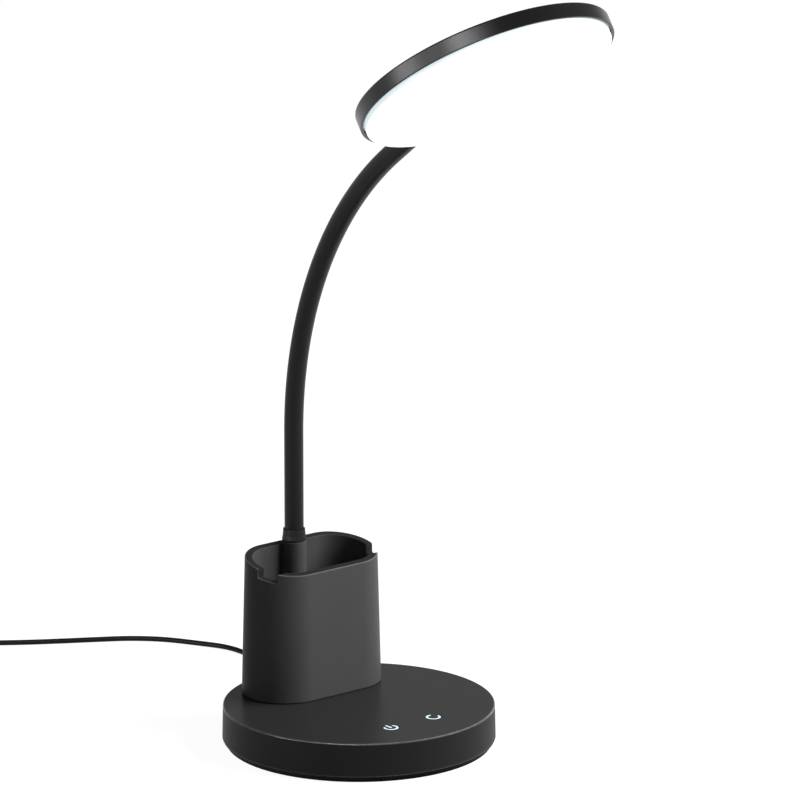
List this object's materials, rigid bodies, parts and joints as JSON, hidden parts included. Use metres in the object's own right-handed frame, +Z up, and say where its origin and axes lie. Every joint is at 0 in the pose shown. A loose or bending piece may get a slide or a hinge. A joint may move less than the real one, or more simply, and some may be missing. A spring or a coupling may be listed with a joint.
{
  "type": "desk lamp",
  "caption": "Desk lamp with a round flat light head on a bending neck, which rises from a pen cup with phone slots at the back of a round touch-controlled base.",
  "frame": {"origin": "centre of the round foot's underside, on the table", "axes": "+Z up; -Y the side that the light head reaches over and that the touch icons are on; +X to the right seen from there"},
  "size_m": [0.189, 0.4281, 0.4112],
  "materials": {
    "satin_black": "satin",
    "sleeve_black": "matt silicone",
    "moulded_black": "matt",
    "foot_rubber": "matt",
    "weight_steel": "raw",
    "plated_steel": "zinc plated",
    "board_green": "lacquered",
    "icon_white": "milky, lit from below",
    "led_yellow": "satin",
    "milky_white": "satin, light passes through",
    "sheet_white": "matt",
    "clear_guide": "clear",
    "connector_white": "matt",
    "cord_black": "satin"
  },
  "bodies": {
    "base": {"base_housing": "satin_black", "bottom_cover": "moulded_black", "foot_pad": "foot_rubber", "counterweight": "weight_steel", "base_screw_1": "plated_steel", "base_screw_2": "plated_steel", "base_screw_3": "plated_steel", "base_screw_4": "plated_steel", "control_board": "board_green", "board_screw_left": "plated_steel", "board_screw_right": "plated_steel", "power_icon": "icon_white", "dimmer_icon": "icon_white", "power_icon_led": "led_yellow", "dimmer_icon_led": "led_yellow", "pen_cup": "satin_black", "cup_screw_left": "plated_steel", "cup_screw_right": "plated_steel", "neck_root": "plated_steel", "neck_washer": "plated_steel", "neck_nut": "plated_steel", "neck_boot": "moulded_black", "neck_sleeve": "sleeve_black", "neck_cable": "cord_black", "strain_relief": "moulded_black", "cord_inner_lead": "cord_black", "power_cord": "cord_black", "power_cord_coil": "cord_black", "power_cord_tail": "cord_black", "coil_tie": "moulded_black", "usb_plug_body": "moulded_black", "usb_plug_shell": "plated_steel"},
    "neck_1": {"neck_link_1": "plated_steel"},
    "neck_2": {"neck_link_2": "plated_steel"},
    "neck_3": {"neck_link_3": "plated_steel"},
    "neck_4": {"neck_link_4": "plated_steel"},
    "neck_5": {"neck_link_5": "plated_steel"},
    "head": {"neck_end_ferrule": "plated_steel", "neck_clip": "plated_steel", "head_housing": "satin_black", "retainer_plate": "sheet_white", "retainer_screw_1": "plated_steel", "retainer_screw_2": "plated_steel", "retainer_screw_3": "plated_steel", "reflector_sheet": "sheet_white", "light_guide": "clear_guide", "led_strip": "led_yellow", "diffuser": "milky_white", "led_connector": "connector_white"}
  },
  "joints": [
    {"name": "neck_bend_1", "type": "hinge", "parent": "base", "child": "neck_1", "pos_m": [0, 0.053, 0.126], "axis": [1, 0, 0], "range_deg": [-20, 20], "deforming": ["neck_sleeve", "neck_cable"]},
    {"name": "neck_lean_1", "type": "hinge", "parent": "neck_1", "child": "neck_2", "pos_m": [0, 0.05262, 0.166], "axis": [0, 0.9981, 0.0616], "range_deg": [-20, 20], "deforming": ["neck_sleeve", "neck_cable"]},
    {"name": "neck_bend_2", "type": "hinge", "parent": "neck_2", "child": "neck_3", "pos_m": [0, 0.04625, 0.20543], "axis": [1, 0, 0], "range_deg": [-25, 12], "deforming": ["neck_sleeve", "neck_cable"]},
    {"name": "neck_bend_3", "type": "hinge", "parent": "neck_3", "child": "neck_4", "pos_m": [0, 0.03228, 0.24285], "axis": [1, 0, 0], "range_deg": [-25, 12], "deforming": ["neck_sleeve", "neck_cable"]},
    {"name": "neck_lean_2", "type": "hinge", "parent": "neck_4", "child": "neck_5", "pos_m": [0, 0.01126, 0.27681], "axis": [0, 0.7944, 0.6074], "range_deg": [-20, 20], "deforming": ["neck_sleeve", "neck_cable"]},
    {"name": "neck_bend_4", "type": "hinge", "parent": "neck_5", "child": "head", "pos_m": [0, -0.016, 0.306], "axis": [1, 0, 0], "range_deg": [-25, 12], "deforming": ["neck_sleeve", "neck_cable"]}
  ]
}
